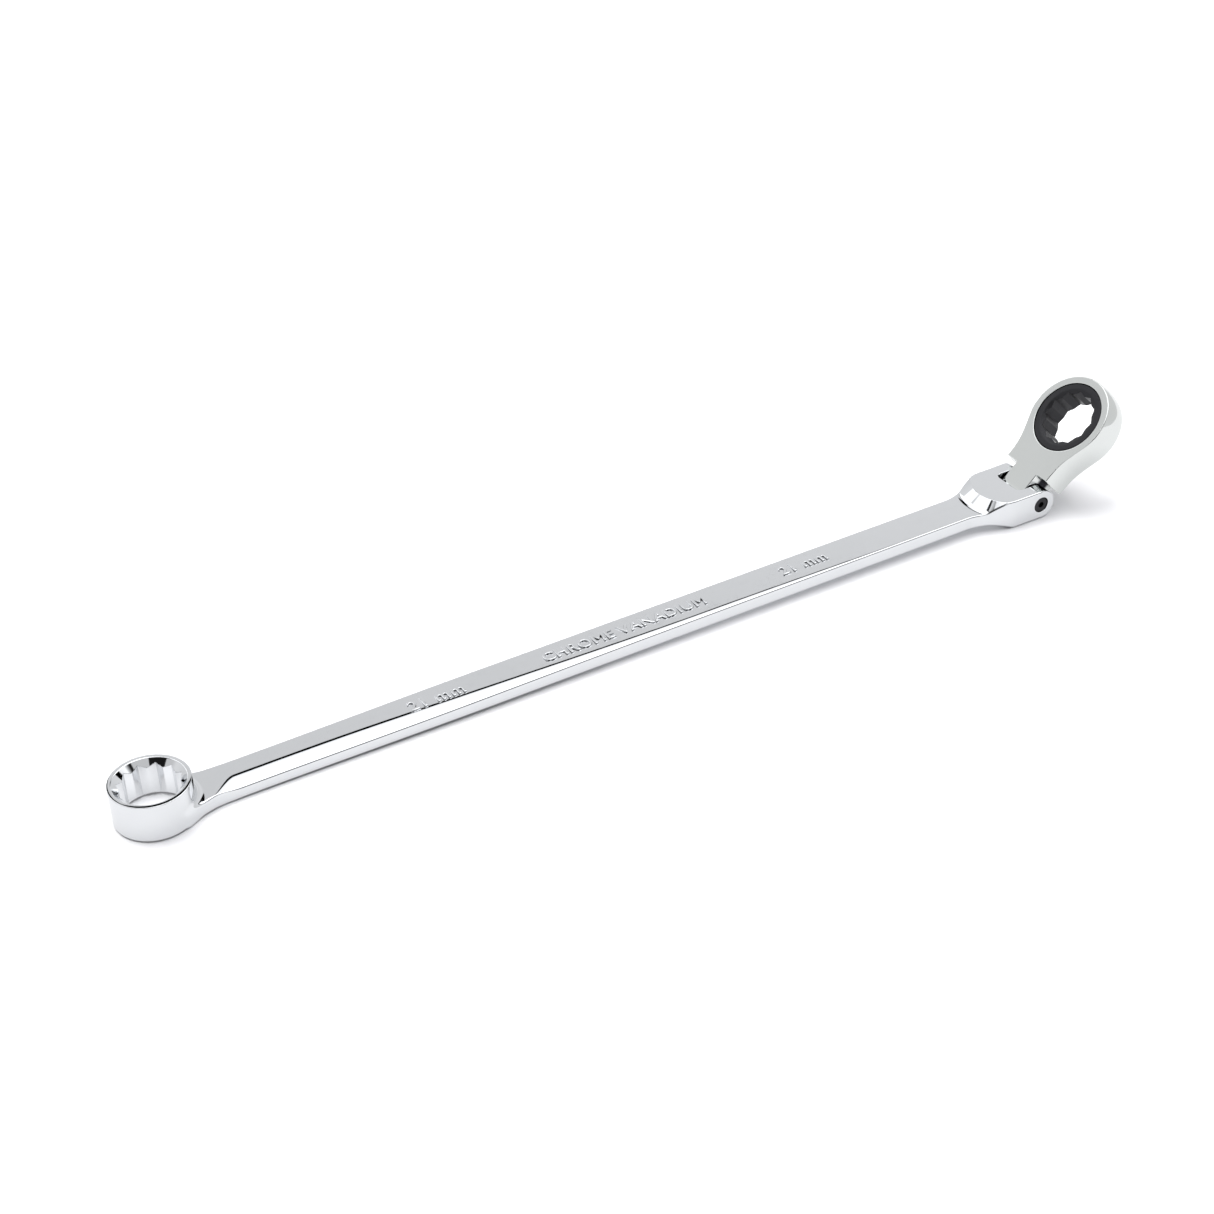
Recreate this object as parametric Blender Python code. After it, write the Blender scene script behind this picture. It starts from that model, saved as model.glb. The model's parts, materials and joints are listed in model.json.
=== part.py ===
"""Extra-long double-box wrench: a fixed 12-point ring at one end, and a 12-point ratcheting ring on a flexing
head at the other. Metres, +Z up. X runs along the handle from the fixed ring to the head, and Y is the flex
hinge's direction. The origin is on the flat band under the fixed ring, at its heel. Places below are measured
from the ring's own axis."""

import math

import bmesh
import bpy
from mathutils import Matrix

MM = 0.001

# Both sockets take a 21 mm hexagon
ACROSS_FLATS = 21.0 * MM

# Fixed ring
RING_X = 13.3 * MM
RING_R = 15.15 * MM
RING_FOOT_R = 14.95 * MM
RING_H = 15.8 * MM
RING_FOOT_ROUND = 1.1 * MM
RING_MOUTH_R = 13.6 * MM
RING_FOOT_MOUTH_R = 12.7 * MM
RING_SEAM_R = 13.45 * MM
RING_STEPS = 72
CHAMFER_TIP_R = 10.6 * MM

# Handle between the ring and the fork
HANDLE_HALF_W_RING = 8.6 * MM
HANDLE_HALF_W_FORK = 8.3 * MM
HANDLE_T = 5.6 * MM
HANDLE_RISE = 0.9 * MM
HANDLE_EDGE_R = 0.9 * MM
NECK_END_X = 23.0 * MM
NECK_FLARE = 2.0 * MM
NECK_FLARE_LENGTH = 12 * MM
RING_FILLET_R = 3.2 * MM
NEAR_STATIONS = (6, 9, 11, 12, 13, 14, 15, 16, 17, 18, 19, 21, 23, 27, 32)

# Flex hinge and the fork round it
PIN_X = 386.5 * MM
PIN_Z = 4.1 * MM
EAR_R = 6.4 * MM
FORK_HALF_W = 13.5 * MM
FLARE_START = -34.0 * MM
FLARE_END = -12.5 * MM
TOP_RAMP = (-30.0 * MM, -18.6 * MM)
FOOT_RAMP = (-26.0 * MM, -14.2 * MM)
SLOT_HALF_W = 7.5 * MM
SLOT_END = -8.5 * MM
SLOT_CORNER_R = 2.5 * MM
FORK_STATIONS = (
    (-36, -34, -32, -30, -28, -26.5, -25, -23.5, -22)
    + (-20.5, -19.5, -18.6, -17.5, -16.4, -15.3, -14.2, -12.5, -9)
)

# Flexing head: U runs from the hinge to the gear's axis, N is the face's normal
FLEX_REST = math.radians(43.2)
GEAR_U = 35.5 * MM
HEAD_R = 19.5 * MM
HEAD_HALF_T = 6.3 * MM
HEAD_EDGE_R = 0.7 * MM
SHOULDER_U = 8.0 * MM
SHOULDER_HALF_W = 13.4 * MM
TONGUE_HALF_W = 7.1 * MM
TONGUE_R = 6.45 * MM
FACE_OPENING_R = 15.75 * MM
BORE_R = 17.0 * MM
BORE_TOP_N = 3.7 * MM
GROOVE_R = 18.1 * MM
GROOVE = (-5.35 * MM, -4.1 * MM)

# Ratchet gear
TEETH = 72
GEAR_TIP_R = 16.7 * MM
GEAR_ROOT_R = 15.9 * MM
GEAR_COLLAR_R = 15.45 * MM
GEAR_TOP_N = 6.1 * MM
GEAR_TEETH = (-3.6 * MM, 3.4 * MM)
GEAR_MOUTH_R = 12.8 * MM

# Snap ring
SNAP_INNER_R = 15.95 * MM
SNAP_OUTER_R = 17.8 * MM
SNAP_HALF_GAP = 9
SNAP_STEPS = 45
SNAP_PLAY_BELOW = 0.2 * MM
SNAP_PLAY_ABOVE = 0.15 * MM

# Pawl, its pocket and its spring
POCKET_U = (10.6 * MM, 19.6 * MM)
POCKET_HALF_W = 6.2 * MM
POCKET_HALF_T = 3.6 * MM
PAWL_BACK_U = 13.4 * MM
PAWL_HALF_W = 5.8 * MM
PAWL_HALF_T = 3.3 * MM
PAWL_TOOTH_GAP = 0.16 * MM
PAWL_TRAVEL = 1.1 * MM
SPRING_HOLE_R = 1.8 * MM
SPRING_U = (7.3 * MM, 14.6 * MM)
SPRING_COIL_R = 1.25 * MM
SPRING_WIRE_R = 0.2 * MM
SPRING_TURNS = 6

# Hinge screw and friction washers
SCREW_HEAD_R = 3.3 * MM
SCREW_HEAD_T = 2.3 * MM
SCREW_R = 2.5 * MM
SCREW_HEX_R = 1.45 * MM
SCREW_HEX_DEPTH = 1.5 * MM
SCREW_BEVEL = 0.35 * MM
SCREW_CLEARANCE = 0.09 * MM
SEAT_CLEARANCE_R = 0.15 * MM
SEAT_CLEARANCE_T = 0.3 * MM
SCREW_SUNK = 0.25 * MM
SCREW_END_INSIDE = 0.6 * MM
WASHER_R = 4.5 * MM
WASHER_BORE_R = 2.9 * MM
WASHER_T = 0.25 * MM
WASHER_WAVE = 0.12 * MM
WASHER_POCKET = 0.65 * MM
WASHER_CLEARANCE_R = 0.2 * MM
WASHER_CLEARANCE_T = 0.18 * MM

FAR = 30.0 * MM


def clear_scene():
    for obj in list(bpy.data.objects):
        bpy.data.objects.remove(obj, do_unlink=True)


def material(name, colour, metallic, roughness):
    mat = bpy.data.materials.new(name)
    mat.use_nodes = True
    shader = mat.node_tree.nodes["Principled BSDF"]
    shader.inputs["Base Color"].default_value = (*colour, 1.0)
    shader.inputs["Metallic"].default_value = metallic
    shader.inputs["Roughness"].default_value = roughness
    return mat


def add_object(name, bm, mat=None, parent=None, location=(0, 0, 0)):
    bmesh.ops.recalc_face_normals(bm, faces=bm.faces)
    mesh = bpy.data.meshes.new(name)
    bm.to_mesh(mesh)
    bm.free()
    obj = bpy.data.objects.new(name, mesh)
    bpy.context.scene.collection.objects.link(obj)
    obj.parent = parent
    obj.location = location
    if mat:
        mesh.materials.append(mat)
    mesh.shade_smooth()
    mesh.set_sharp_from_angle(angle=math.radians(30))
    return obj


def add_empty(name, parent, location):
    empty = bpy.data.objects.new(name, None)
    bpy.context.scene.collection.objects.link(empty)
    empty.parent = parent
    empty.location = location
    return empty


def as_cutter(obj):
    obj.hide_render = True
    obj.display_type = "WIRE"
    return obj


def boolean(obj, other, operation):
    modifier = obj.modifiers.new(operation.lower() + "_" + other.name, "BOOLEAN")
    modifier.operation = operation
    modifier.solver = "EXACT"
    modifier.object = as_cutter(other)


def cut(obj, *cutters):
    for cutter in cutters:
        boolean(obj, cutter, "DIFFERENCE")


def loft(loops, matrix=None):
    """A closed tube through loops that hold the same number of points, with a flat cap at each end."""
    bm = bmesh.new()
    rings = [[bm.verts.new(p) for p in loop] for loop in loops]
    for a, b in zip(rings, rings[1:]):
        for i in range(len(a)):
            j = (i + 1) % len(a)
            bm.faces.new((a[i], a[j], b[j], b[i]))
    bm.faces.new(reversed(rings[0]))
    bm.faces.new(rings[-1])
    if matrix:
        bmesh.ops.transform(bm, matrix=matrix, verts=bm.verts)
    return bm


def prism(outline, low, high, matrix=None):
    """An outline in X and Y, extruded along Z from low to high."""
    return loft([[(x, y, z) for x, y in outline] for z in (low, high)], matrix)


def turned(profile, steps=72, matrix=None):
    """A solid of revolution about Z. Its profile is (radius, height), from the axis at the bottom to the axis
    at the top."""
    bm = bmesh.new()
    verts = [bm.verts.new((r, 0, z)) for r, z in profile]
    edges = [bm.edges.new(pair) for pair in zip(verts, verts[1:])]
    bmesh.ops.spin(bm, geom=verts + edges, cent=(0, 0, 0), axis=(0, 0, 1), angle=math.tau, steps=steps)
    bmesh.ops.remove_doubles(bm, verts=bm.verts, dist=1e-6)
    if matrix:
        bmesh.ops.transform(bm, matrix=matrix, verts=bm.verts)
    return bm


def closed_ring(loops, matrix=None):
    """A ring-shaped solid: each loop goes once round the axis, and the last is joined back to the first."""
    bm = bmesh.new()
    rings = [[bm.verts.new(p) for p in loop] for loop in loops]
    for a, b in zip(rings, rings[1:] + rings[:1]):
        for i in range(len(a)):
            j = (i + 1) % len(a)
            bm.faces.new((a[i], a[j], b[j], b[i]))
    if matrix:
        bmesh.ops.transform(bm, matrix=matrix, verts=bm.verts)
    return bm


def circle(radius, count, centre=(0, 0), start=0.0):
    return [
        (
            centre[0] + radius * math.cos(start + math.tau * i / count),
            centre[1] + radius * math.sin(start + math.tau * i / count),
        )
        for i in range(count)
    ]


def arc(centre, radius, first, last, count):
    """Points on an arc, both ends included, with angles in degrees."""
    angles = [math.radians(first + (last - first) * i / (count - 1)) for i in range(count)]
    return [(centre[0] + radius * math.cos(a), centre[1] + radius * math.sin(a)) for a in angles]


def socket_radius(degrees, phase):
    """How far the twelve-point outline lies from its axis in a direction: 30 degrees off a flat at each corner."""
    off_flat = 15 + abs((degrees - phase) % 30 - 15)
    return ACROSS_FLATS / 2 / math.cos(math.radians(off_flat))


def twelve_point(phase):
    """The outline of two hexagons turned 30 degrees apart, with a corner at phase degrees."""
    points = []
    for degrees in range(phase, phase + 360, 15):
        r = socket_radius(degrees, phase)
        points.append((r * math.cos(math.radians(degrees)), r * math.sin(math.radians(degrees))))
    return points


def smooth(t):
    t = min(max(t, 0.0), 1.0)
    return t * t * (3 - 2 * t)


# Handle


def handle_half_width(x):
    share = x / PIN_X
    width = HANDLE_HALF_W_RING + (HANDLE_HALF_W_FORK - HANDLE_HALF_W_RING) * share
    if x < NECK_END_X:
        width += NECK_FLARE * ((NECK_END_X - x) / NECK_FLARE_LENGTH) ** 2
    flare = smooth((x - PIN_X - FLARE_START) / (FLARE_END - FLARE_START))
    return width + (FORK_HALF_W - width) * flare


def ramp(x, span):
    """0 before the span and 1 after it, rising along a hollow curve that ends in a crisp crest."""
    t = (x - PIN_X - span[0]) / (span[1] - span[0])
    return min(max(t, 0.0), 1.0) ** 1.7


def handle_top(x, y):
    rise = HANDLE_RISE * min(max(x / PIN_X, 0.0), 1.0)
    z = HANDLE_T + rise
    gap = math.hypot(x, y) - RING_R
    if x < 60 * MM and gap < RING_FILLET_R:
        gap = max(gap, 0.0)
        z += RING_FILLET_R - math.sqrt(RING_FILLET_R**2 - (RING_FILLET_R - gap) ** 2)
    return z + (PIN_Z + EAR_R - z) * ramp(x, TOP_RAMP)


def handle_foot(x):
    z = HANDLE_RISE * min(max(x / PIN_X, 0.0), 1.0)
    return z + (PIN_Z - EAR_R - z) * ramp(x, FOOT_RAMP)


def handle_section(x, nose=1.0):
    """A rounded rectangle across the handle. nose scales its height about the hinge, for the ears' round ends."""
    half = handle_half_width(x)
    edge = HANDLE_EDGE_R * (1.0 - 0.4 * smooth((x - PIN_X - FLARE_START) / (FLARE_END - FLARE_START)))
    low = handle_foot(x)
    edge = min(edge, 0.45 * nose * (handle_top(x, 0) - low))
    flat = half - edge
    corner = [(math.sin(math.radians(a)), math.cos(math.radians(a))) for a in (0, 22.5, 45, 67.5, 90)]
    across = [flat * s for s in (-0.75, -0.5, -0.25, 0.0, 0.25, 0.5, 0.75)]
    points = [(y, handle_top(x, y)) for y in across]
    points += [(flat + edge * s, handle_top(x, flat) - edge + edge * c) for s, c in corner]
    points += [(flat + edge * s, low + edge - edge * c) for s, c in reversed(corner)]
    points += [(-flat - edge * s, low + edge - edge * c) for s, c in corner]
    points += [(-flat - edge * s, handle_top(x, flat) - edge + edge * c) for s, c in reversed(corner)]
    return [(y, PIN_Z + (z - PIN_Z) * nose) for y, z in points]


def handle_stations():
    """Where the handle's sections lie, closest together where its shape changes."""
    return [x * MM for x in NEAR_STATIONS] + [PIN_X + x * MM for x in FORK_STATIONS]


def handle_loft():
    loops = [[(x, y, z) for y, z in handle_section(x)] for x in handle_stations()]
    for degrees in (0, 10, 20, 30, 40, 50, 60, 68, 76, 83):
        a = math.radians(degrees)
        x = PIN_X + EAR_R * math.sin(a)
        nose = math.cos(a)
        section = handle_section(PIN_X, nose if degrees else 1.0)
        loops.append([(x, y, z) for y, z in section])
    return loft(loops)


def ring_band():
    """The fixed ring with its socket: a turned outside, 45 degree chamfers and twelve-point flutes between them."""
    count = RING_STEPS
    foot_centre = (RING_FOOT_R - RING_FOOT_ROUND, RING_FOOT_ROUND)
    outside = arc(foot_centre, RING_FOOT_ROUND, -90, 0, 6)
    outside += [(RING_R, RING_H - 0.5 * MM), (RING_R - 0.12 * MM, RING_H - 0.14 * MM)]
    outside += [(RING_R - 0.45 * MM, RING_H), (RING_MOUTH_R, RING_H)]
    loops = [[(x, y, z) for x, y in circle(r, count)] for r, z in outside]
    for top in (True, False):
        loop = []
        for i in range(count):
            a = math.tau * i / count
            r = socket_radius(math.degrees(a), 0)
            z = RING_H - (RING_MOUTH_R - r) if top else RING_FOOT_MOUTH_R - r
            loop.append((r * math.cos(a), r * math.sin(a), z))
        loops.append(loop)
    loops.append([(x, y, 0) for x, y in circle(RING_FOOT_MOUTH_R, count)])
    return closed_ring(loops)


def socket_cutter(name, phase, half_length, parent, centre):
    outline = twelve_point(phase)
    return add_object(name, prism(outline, -half_length, half_length), None, parent, centre)


def cone_cutter(name, mouth_r, up, parent, centre):
    """A 45 degree chamfer round a socket: mouth_r at the face, and narrower than the socket at its tip."""
    over = 1.0 * MM
    depth = mouth_r - CHAMFER_TIP_R
    profile = [(0, -depth), (CHAMFER_TIP_R, -depth), (mouth_r + over, over), (0, over)]
    flip = Matrix.Rotation(0.0 if up else math.pi, 4, "X")
    between_corners = Matrix.Rotation(math.radians(2.5), 4, "Z")
    return add_object(name, turned(profile, matrix=flip @ between_corners), None, parent, centre)


def across_y(outline, low, high):
    """An outline in X and Z, extruded along Y."""
    return loft([[(x, y, z) for x, z in outline] for y in (low, high)])


def y_cylinder(radius, low, high, count=48):
    return across_y(circle(radius, count), low, high)


def slot_outline():
    corner = (SLOT_END + SLOT_CORNER_R, SLOT_HALF_W - SLOT_CORNER_R)
    rounded = arc(corner, SLOT_CORNER_R, 90, 180, 7)
    points = [(EAR_R + 3 * MM, SLOT_HALF_W)] + rounded
    return points + [(x, -y) for x, y in reversed(points)]


def make_handle(base, mat):
    handle = add_object("handle", handle_loft(), mat, base)
    cut(handle, add_object("ring_space", prism(circle(RING_SEAM_R, RING_STEPS), -FAR, FAR), None, base))
    boolean(handle, add_object("ring_band", ring_band(), None, base), "UNION")
    hinge = (PIN_X, 0, PIN_Z)
    slot = add_object("fork_slot", prism(slot_outline(), -FAR, FAR), None, base, hinge)
    hole = add_object("screw_hole", y_cylinder(SCREW_R + SCREW_CLEARANCE, -FAR, FAR), None, base, hinge)
    seat_y = -FORK_HALF_W + SCREW_HEAD_T + SEAT_CLEARANCE_T
    counterbore = y_cylinder(SCREW_HEAD_R + SEAT_CLEARANCE_R, -FAR, seat_y)
    seat = add_object("screw_seat", counterbore, None, base, hinge)
    cut(handle, slot, hole, seat)
    return handle


# Flexing head


def flank():
    """The neck's side from the shoulder to where it meets the circle round the gear, a hollow cubic curve."""
    touch = math.radians(112)
    end = (GEAR_U + HEAD_R * math.cos(touch), HEAD_R * math.sin(touch))
    slope = -math.cos(touch) / math.sin(touch)
    start = (SHOULDER_U, SHOULDER_HALF_W)
    reach = (end[0] - start[0]) * 0.45
    handles = ((start[0] + reach, start[1] - 0.2 * MM), (end[0] - reach, end[1] - slope * reach))
    points = []
    for i in range(12):
        t = i / 12
        weights = ((1 - t) ** 3, 3 * t * (1 - t) ** 2, 3 * t * t * (1 - t), t**3)
        knots = (start, *handles, end)
        points.append(tuple(sum(w * k[axis] for w, k in zip(weights, knots)) for axis in (0, 1)))
    return points


def head_outline():
    upper = [(-9 * MM, TONGUE_HALF_W), (SHOULDER_U - 0.8 * MM, TONGUE_HALF_W)]
    upper += [(SHOULDER_U, TONGUE_HALF_W + 0.8 * MM)] + flank()
    nose = arc((GEAR_U, 0), HEAD_R, 112, -112, 50)
    return upper + nose + [(x, -y) for x, y in reversed(upper)]


def inset(outline, distance):
    """The outline, which runs clockwise, moved inwards by a distance, with mitred corners."""
    points = []
    for i, (x, y) in enumerate(outline):
        (ax, ay), (bx, by) = outline[i - 1], outline[(i + 1) % len(outline)]
        before, after = math.hypot(x - ax, y - ay), math.hypot(bx - x, by - y)
        nx = (y - ay) / before + (by - y) / after
        ny = -(x - ax) / before - (bx - x) / after
        scale = distance * 2 / (nx * nx + ny * ny)
        points.append((x + nx * scale, y + ny * scale))
    return points


def head_blank():
    """The head's outline drawn up in layers, with rounded rims."""
    outline = head_outline()
    rim = []
    for degrees in (0, 45, 90):
        a = math.radians(degrees)
        rim.append((HEAD_EDGE_R * (1 - math.sin(a)), HEAD_HALF_T - HEAD_EDGE_R * (1 - math.cos(a))))
    layers = [(d, -n) for d, n in rim] + [(d, n) for d, n in reversed(rim)]
    return loft([[(x, y, n) for x, y in inset(outline, d)] for d, n in layers])


def tongue_cutter():
    """Everything beyond the tongue's round end, in U and N."""
    far = 12 * MM
    points = [(0.0, far), (-far, far), (-far, -far), (0.0, -far)]
    points += arc((0, 0), TONGUE_R, 270, 90, 31)
    return across_y(points, -FAR, FAR)


def bore_cutter():
    """The gear's bore, open below, with the snap ring's groove, and the narrower opening in the face."""
    profile = [(0, -8 * MM), (BORE_R, -8 * MM), (BORE_R, GROOVE[0]), (GROOVE_R, GROOVE[0])]
    profile += [(GROOVE_R, GROOVE[1]), (BORE_R, GROOVE[1]), (BORE_R, BORE_TOP_N), (FACE_OPENING_R, BORE_TOP_N)]
    profile += [(FACE_OPENING_R, 8 * MM), (0, 8 * MM)]
    return turned(profile)


def box_outline(low, high, half):
    return [(low, -half), (high, -half), (high, half), (low, half)]


def make_head(pivot, mat):
    head = add_object("head", head_blank(), mat, pivot)
    bore = add_object("gear_bore", bore_cutter(), None, pivot, (GEAR_U, 0, 0))
    pocket = box_outline(POCKET_U[0], POCKET_U[1], POCKET_HALF_W)
    pocket = prism(pocket, -POCKET_HALF_T, POCKET_HALF_T)
    pawl_pocket = add_object("pawl_pocket", pocket, None, pivot)
    to_u = Matrix.Rotation(math.pi / 2, 4, "Y")
    hole = prism(circle(SPRING_HOLE_R, 24), SPRING_U[0] - 0.3 * MM, POCKET_U[0] + 1 * MM, to_u)
    spring_hole = add_object("spring_hole", hole, None, pivot)
    end = add_object("tongue_end", tongue_cutter(), None, pivot)
    pin_hole = y_cylinder(SCREW_R + SCREW_CLEARANCE, -FAR, FAR)
    pin_hole = add_object("tongue_hole", pin_hole, None, pivot)
    cut(head, end, bore, pawl_pocket, spring_hole, pin_hole)
    for name, side in (("near", -1), ("far", 1)):
        ends = sorted((side * (TONGUE_HALF_W - WASHER_POCKET), side * FAR))
        recess = y_cylinder(WASHER_R + WASHER_CLEARANCE_R, *ends)
        cut(head, add_object("recess_" + name, recess, None, pivot))
    return head


# Ratchet gear, with its origin on its axis


def toothed_outline(root, tip, first=0, last=TEETH):
    """Points of pointed teeth, from tooth first up to tooth last, each with the root before it and its tip."""
    points = []
    for i in range(first, last):
        for offset, r in ((-0.5, root), (0.0, tip)):
            a = math.tau * (i + offset) / TEETH
            points.append((r * math.cos(a), r * math.sin(a)))
    return points


def gear_rim(radius):
    """The same number of points as the teeth have, on a plain circle."""
    return [(radius * x, radius * y) for x, y in toothed_outline(1.0, 1.0)]


def make_gear(pivot, mat):
    collar = gear_rim(GEAR_COLLAR_R)
    teeth = toothed_outline(GEAR_ROOT_R, GEAR_TIP_R)
    layers = [(gear_rim(GEAR_COLLAR_R - 0.5 * MM), -GEAR_TOP_N), (collar, -GEAR_TOP_N + 0.5 * MM)]
    layers += [(collar, GEAR_TEETH[0]), (teeth, GEAR_TEETH[0])]
    layers += [(teeth, GEAR_TEETH[1]), (collar, GEAR_TEETH[1])]
    layers += [(collar, GEAR_TOP_N - 0.4 * MM), (gear_rim(GEAR_COLLAR_R - 0.4 * MM), GEAR_TOP_N)]
    bm = loft([[(x, y, z) for x, y in outline] for outline, z in layers])
    gear = add_object("ratchet_gear", bm, mat, pivot, (GEAR_U, 0, 0))
    centre = (GEAR_U, 0, 0)
    cutters = [socket_cutter("gear_socket", 15, FAR, pivot, centre)]
    for up, name in ((True, "gear_top_chamfer"), (False, "gear_foot_chamfer")):
        at = (GEAR_U, 0, GEAR_TOP_N if up else -GEAR_TOP_N)
        cutters.append(cone_cutter(name, GEAR_MOUTH_R, up, pivot, at))
    cut(gear, *cutters)
    return gear


def make_snap_ring(pivot, mat):
    """An open flat ring in the bore's groove, under the gear."""
    first, last = SNAP_HALF_GAP, 360 - SNAP_HALF_GAP
    low, high = GROOVE[0] + SNAP_PLAY_BELOW, GROOVE[1] - SNAP_PLAY_ABOVE
    outline = arc((0, 0), SNAP_OUTER_R, first, last, SNAP_STEPS)
    outline += arc((0, 0), SNAP_INNER_R, last, first, SNAP_STEPS)
    return add_object("snap_ring", prism(outline, low, high), mat, pivot, (GEAR_U, 0, 0))


def make_pawl(pivot, mat):
    """A block whose front carries teeth that fit between the gear's, with a blind hole behind for its spring."""
    middle = TEETH // 2
    root, tip = GEAR_ROOT_R + PAWL_TOOTH_GAP, GEAR_TIP_R + PAWL_TOOTH_GAP
    front = [(x + GEAR_U, y) for x, y in toothed_outline(root, tip, middle - 3, middle + 4)][1:]
    front_u = GEAR_U - math.sqrt(tip**2 - PAWL_HALF_W**2)
    back_half = PAWL_HALF_W - 1 * MM
    neck_u = front_u - 1.2 * MM
    sides = [(front_u, -PAWL_HALF_W), (neck_u, -PAWL_HALF_W), (PAWL_BACK_U, -back_half)]
    outline = front + sides + [(x, -y) for x, y in reversed(sides)]
    pawl = add_object("pawl", prism(outline, -PAWL_HALF_T, PAWL_HALF_T), mat, pivot)
    to_u = Matrix.Rotation(math.pi / 2, 4, "Y")
    hole_end = SPRING_U[1] + PAWL_TRAVEL + 0.2 * MM
    hole = prism(circle(SPRING_HOLE_R, 24), PAWL_BACK_U - 2 * MM, hole_end, to_u)
    cut(pawl, add_object("pawl_spring_hole", hole, None, pivot))
    return pawl


def make_spring(pivot, mat):
    """A wire wound along U, with its ends cut square."""
    steps_per_turn, sides = 12, 6
    length = SPRING_U[1] - SPRING_U[0] - 2 * SPRING_WIRE_R
    total = steps_per_turn * SPRING_TURNS
    loops = []
    for i in range(total + 1):
        turn = math.tau * i / steps_per_turn
        u = SPRING_U[0] + SPRING_WIRE_R + length * i / total
        loop = []
        for j in range(sides):
            k = math.tau * j / sides
            out = SPRING_COIL_R + SPRING_WIRE_R * math.cos(k)
            loop.append((u + SPRING_WIRE_R * math.sin(k), out * math.cos(turn), out * math.sin(turn)))
        loops.append(loop)
    return add_object("pawl_spring", loft(loops), mat, pivot)


# Hinge hardware


def make_screw(base, mat):
    """A socket screw along Y: its head is sunk in the near ear, and its end stops inside the far ear."""
    head_y = -FORK_HALF_W + SCREW_SUNK
    neck_y = head_y + SCREW_HEAD_T
    end_y = FORK_HALF_W - SCREW_END_INSIDE
    profile = [(0, head_y), (SCREW_HEAD_R - SCREW_BEVEL, head_y), (SCREW_HEAD_R, head_y + SCREW_BEVEL)]
    profile += [(SCREW_HEAD_R, neck_y), (SCREW_R, neck_y), (SCREW_R, end_y - SCREW_BEVEL)]
    profile += [(SCREW_R - SCREW_BEVEL, end_y), (0, end_y)]
    along_y = Matrix.Rotation(-math.pi / 2, 4, "X")
    hinge = (PIN_X, 0, PIN_Z)
    screw = add_object("hinge_screw", turned(profile, 48, along_y), mat, base, hinge)
    hexagon = prism(circle(SCREW_HEX_R, 6), head_y - 1 * MM, head_y + SCREW_HEX_DEPTH, along_y)
    cut(screw, add_object("screw_hex", hexagon, None, base, hinge))
    return screw


def make_washer(name, side, pivot, mat):
    """A thin spring washer with three waves, in the recess on one side of the tongue."""
    count = 36
    recess_floor = TONGUE_HALF_W - WASHER_POCKET
    middle = side * (recess_floor + WASHER_CLEARANCE_T + WASHER_T / 2 + WASHER_WAVE)
    along_y = Matrix.Rotation(-math.pi / 2, 4, "X")
    loops = []
    for radius, offset in ((WASHER_BORE_R, -1), (WASHER_R, -1), (WASHER_R, 1), (WASHER_BORE_R, 1)):
        ring = circle(radius, count)
        waves = [WASHER_WAVE * math.cos(3 * math.tau * i / count) for i in range(count)]
        loops.append([(x, y, middle + wave + offset * WASHER_T / 2) for (x, y), wave in zip(ring, waves)])
    return add_object(name, closed_ring(loops, along_y), mat, pivot)


def main():
    clear_scene()
    chrome = material("chrome_handle", (0.80, 0.81, 0.83), 1.0, 0.08)
    head_chrome = material("chrome_head", (0.77, 0.79, 0.78), 1.0, 0.12)
    gear_black = material("black_gear", (0.035, 0.035, 0.04), 0.7, 0.38)
    screw_black = material("black_screw", (0.03, 0.03, 0.035), 0.7, 0.35)
    spring_steel = material("spring_steel", (0.45, 0.45, 0.46), 1.0, 0.3)
    pawl_steel = material("pawl_steel", (0.25, 0.25, 0.26), 1.0, 0.35)

    base = add_empty("ring_axis", None, (RING_X, 0, 0))
    pivot = add_empty("flex_pivot", base, (PIN_X, 0, PIN_Z))
    pivot.rotation_euler = (0, -FLEX_REST, 0)

    make_handle(base, chrome)
    make_head(pivot, head_chrome)
    make_gear(pivot, gear_black)
    make_snap_ring(pivot, spring_steel)
    make_pawl(pivot, pawl_steel)
    make_spring(pivot, spring_steel)
    make_screw(base, screw_black)
    make_washer("friction_washer_near", -1, pivot, spring_steel)
    make_washer("friction_washer_far", 1, pivot, spring_steel)


main()
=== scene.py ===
"""The looks of the flex-head box wrench: chromed forgings, black gear and screw, marks, floor and light.

The forgings are surfaces of distance fields. Each field is negative inside the steel, and every edge and
fillet is a rounded meeting of two fields. Lengths inside the fields are in millimetres."""

import json
import math

import bpy
import numpy as np
from mathutils import Matrix, Vector

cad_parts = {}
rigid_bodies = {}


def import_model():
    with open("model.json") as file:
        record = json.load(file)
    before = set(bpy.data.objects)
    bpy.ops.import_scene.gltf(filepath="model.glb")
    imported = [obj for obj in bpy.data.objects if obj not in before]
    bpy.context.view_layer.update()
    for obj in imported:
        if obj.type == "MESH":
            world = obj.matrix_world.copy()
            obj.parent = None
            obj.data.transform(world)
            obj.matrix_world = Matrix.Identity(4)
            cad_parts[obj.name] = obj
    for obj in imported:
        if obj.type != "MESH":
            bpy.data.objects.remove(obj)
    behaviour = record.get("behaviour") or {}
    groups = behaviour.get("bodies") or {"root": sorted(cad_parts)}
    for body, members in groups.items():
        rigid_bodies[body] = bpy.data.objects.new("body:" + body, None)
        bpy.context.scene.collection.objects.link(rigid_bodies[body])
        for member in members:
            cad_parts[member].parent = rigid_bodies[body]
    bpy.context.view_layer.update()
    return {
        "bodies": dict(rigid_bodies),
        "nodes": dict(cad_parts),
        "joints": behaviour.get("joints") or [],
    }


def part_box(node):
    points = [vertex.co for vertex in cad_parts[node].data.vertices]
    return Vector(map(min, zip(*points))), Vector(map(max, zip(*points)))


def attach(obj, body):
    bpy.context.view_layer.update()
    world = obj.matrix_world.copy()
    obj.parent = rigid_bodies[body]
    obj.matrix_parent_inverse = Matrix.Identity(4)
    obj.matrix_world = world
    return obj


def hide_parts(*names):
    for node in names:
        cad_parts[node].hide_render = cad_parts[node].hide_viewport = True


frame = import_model()

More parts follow.
